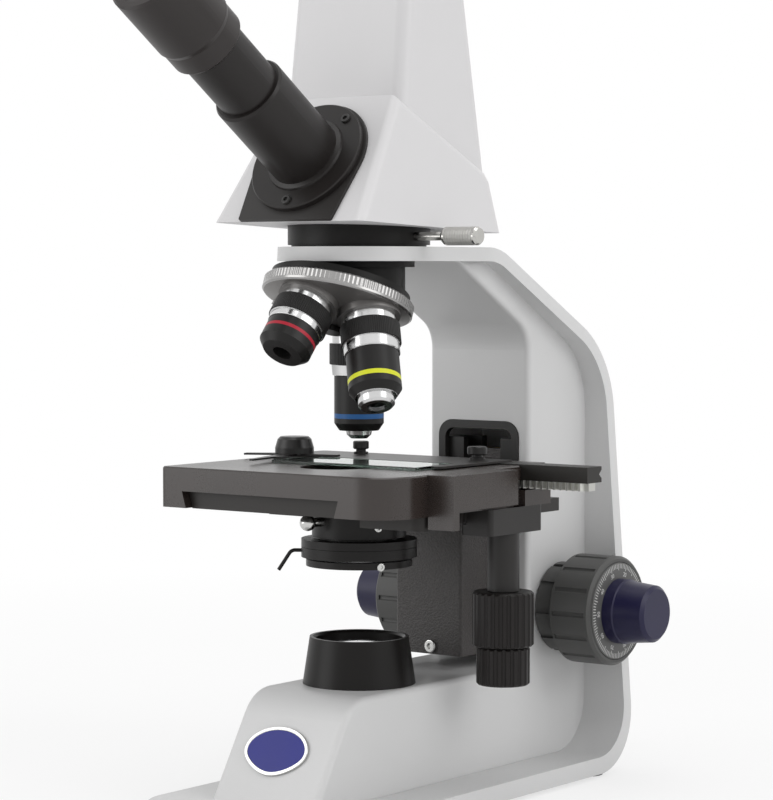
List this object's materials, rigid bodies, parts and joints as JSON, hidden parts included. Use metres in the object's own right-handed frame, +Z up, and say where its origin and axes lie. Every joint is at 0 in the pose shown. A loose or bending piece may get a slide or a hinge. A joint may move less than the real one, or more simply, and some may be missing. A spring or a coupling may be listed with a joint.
{
  "type": "digital monocular microscope",
  "caption": "Upright monocular teaching microscope with a camera tower, turning nosepiece, mechanical stage, condenser and built-in lamp.",
  "frame": {"origin": "centre of the bounding box on the table plane under the feet", "axes": "+Z up, -Y towards the user and the eyepiece, +X to the right of the user"},
  "size_m": [0.169, 0.2822, 0.397],
  "materials": {
    "stand_paint": "fine powder coat, light grey",
    "head_paint": "fine texture paint, light grey",
    "black_metal": "black anodised, satin",
    "stage_metal": "dark anodised, matt",
    "black_texture": "black wrinkle paint",
    "black_plastic": "black, satin",
    "grey_plastic": "dark grey, matt",
    "navy_plastic": "dark blue, satin",
    "chrome": "chrome plated",
    "steel": "ground",
    "brass": "turned",
    "glass": "clear polished",
    "rubber": "matt",
    "board": "soldermask"
  },
  "bodies": {
    "stand_body": {"stand": "stand_paint", "bottom_plate": "steel", "feet": "rubber", "lamp_collar": "black_metal", "collector_lens": "glass", "led_board": "board", "power_board": "board", "power_inlet": "black_plastic", "switch_body": "black_plastic", "slot_liner": "black_plastic", "guide_rail": "black_metal", "shaft_bushes": "brass", "nosepiece_mount": "black_metal", "head_ring": "black_metal"},
    "rocker": {"power_switch": "black_plastic"},
    "dimmer": {"dimmer_knob": "black_plastic"},
    "ring": {"tension_ring": "grey_plastic"},
    "coarse": {"coarse_shaft": "steel", "coarse_knob_right": "grey_plastic", "coarse_knob_left": "grey_plastic"},
    "fine": {"fine_shaft": "steel", "fine_dial": "grey_plastic", "fine_knob_right": "navy_plastic", "fine_knob_left": "navy_plastic"},
    "lift": {"carriage": "black_texture", "rack": "brass", "stage_bracket": "stage_metal", "lower_plate": "stage_metal", "condenser_sleeve": "black_metal"},
    "clamp": {"condenser_clamp": "chrome"},
    "condenser": {"condenser_body": "black_metal", "condenser_lens": "glass"},
    "iris": {"iris_lever": "black_metal"},
    "filter": {"filter_holder": "black_metal"},
    "stage": {"upper_plate": "stage_metal", "knob_housing": "black_metal"},
    "y_drive": {"y_knob": "black_metal"},
    "x_drive": {"x_knob": "black_metal"},
    "cross": {"x_bar": "stage_metal", "x_rack": "steel", "slide_holder": "stage_metal", "slide_glass": "glass", "holder_screws": "black_metal", "finger_cap": "black_metal"},
    "finger": {"clip_finger": "black_metal"},
    "nosepiece": {"turret": "chrome", "objective_40x": "black_metal", "objective_10x": "black_metal", "objective_4x": "black_metal", "objective_lenses": "glass"},
    "head": {"head_base": "black_metal", "prism": "glass", "head_housing": "head_paint", "front_panel": "black_plastic", "eyepiece_tube": "black_metal", "camera_board": "board", "usb_socket": "steel"},
    "eyepiece": {"eyepiece_body": "black_metal", "eye_lens": "glass"},
    "lock": {"lock_screw": "chrome"}
  },
  "joints": [
    {"name": "stage_lift", "type": "slide", "parent": "stand_body", "child": "lift", "axis": [0, 0, 1], "range_m": [-0.006, 0.0085]},
    {"name": "coarse_turn", "type": "hinge", "parent": "stand_body", "child": "coarse", "pos_m": [-0.0055, 0.11308, 0.076], "axis": [1, 0, 0], "range_deg": [-75, 55]},
    {"name": "fine_turn", "type": "hinge", "parent": "coarse", "child": "fine", "pos_m": [-0.0055, 0.11308, 0.076], "axis": [1, 0, 0], "continuous": true},
    {"name": "tension_turn", "type": "hinge", "parent": "stand_body", "child": "ring", "pos_m": [-0.0055, 0.11308, 0.076], "axis": [1, 0, 0], "range_deg": [-120, 120]},
    {"name": "dimmer_turn", "type": "hinge", "parent": "stand_body", "child": "dimmer", "pos_m": [-0.0325, -0.00942, 0.028], "axis": [-1, 0, 0], "range_deg": [0, 280]},
    {"name": "switch_rock", "type": "hinge", "parent": "stand_body", "child": "rocker", "pos_m": [-0.015, 0.13658, 0.023], "axis": [1, 0, 0], "range_deg": [-6, 6]},
    {"name": "y_slide", "type": "slide", "parent": "lift", "child": "stage", "axis": [0, 1, 0], "range_m": [-0.015, 0.015]},
    {"name": "y_knob_turn", "type": "hinge", "parent": "stage", "child": "y_drive", "pos_m": [0.0465, 0.03258, 0.069], "axis": [0, 0, 1], "range_deg": [-145, 145]},
    {"name": "x_knob_turn", "type": "hinge", "parent": "stage", "child": "x_drive", "pos_m": [0.0465, 0.03258, 0.0526], "axis": [0, 0, 1], "range_deg": [-245, 295]},
    {"name": "x_slide", "type": "slide", "parent": "stage", "child": "cross", "axis": [1, 0, 0], "range_m": [-0.03, 0.025]},
    {"name": "finger_swing", "type": "hinge", "parent": "cross", "child": "finger", "pos_m": [-0.0525, 0.01558, 0.1465], "axis": [0, 0, 1], "range_deg": [-35, 0], "stiffness_Nm_per_rad": 0.05, "springref_deg": 5.73},
    {"name": "condenser_slide", "type": "slide", "parent": "lift", "child": "condenser", "axis": [0, 0, 1], "range_m": [-0.012, 0]},
    {"name": "clamp_turn", "type": "hinge", "parent": "lift", "child": "clamp", "pos_m": [-0.0107, -0.01873, 0.1219], "axis": [-0.26, -0.9656, 0], "continuous": true},
    {"name": "iris_turn", "type": "hinge", "parent": "condenser", "child": "iris", "pos_m": [-0.0055, 0.00058, 0.1057], "axis": [0, 0, 1], "range_deg": [-25, 25]},
    {"name": "filter_swing", "type": "hinge", "parent": "condenser", "child": "filter", "pos_m": [0.012, -0.00792, 0.1057], "axis": [0, 0, 1], "range_deg": [0, 100]},
    {"name": "nosepiece_turn", "type": "hinge", "parent": "stand_body", "child": "nosepiece", "pos_m": [-0.0055, 0.00058, 0.255], "axis": [0, -0.342, -0.9397], "continuous": true},
    {"name": "head_turn", "type": "hinge", "parent": "stand_body", "child": "head", "pos_m": [-0.0055, 0.00058, 0.237], "axis": [0, 0, 1], "range_deg": [0, 180]},
    {"name": "eyepiece_lift", "type": "slide", "parent": "head", "child": "eyepiece", "axis": [0, -0.829, 0.5592], "range_m": [0, 0.02]},
    {"name": "lock_turn", "type": "hinge", "parent": "stand_body", "child": "lock", "pos_m": [0.0245, 0.00058, 0.2412], "axis": [1, 0, 0], "continuous": true}
  ],
  "couplings": [
    {"joint": "coarse_turn", "follows": "stage_lift", "rad_per_m": -142.86},
    {"joint": "y_knob_turn", "follows": "y_slide", "rad_per_m": 166.67},
    {"joint": "x_knob_turn", "follows": "x_slide", "rad_per_m": -166.67}
  ]
}
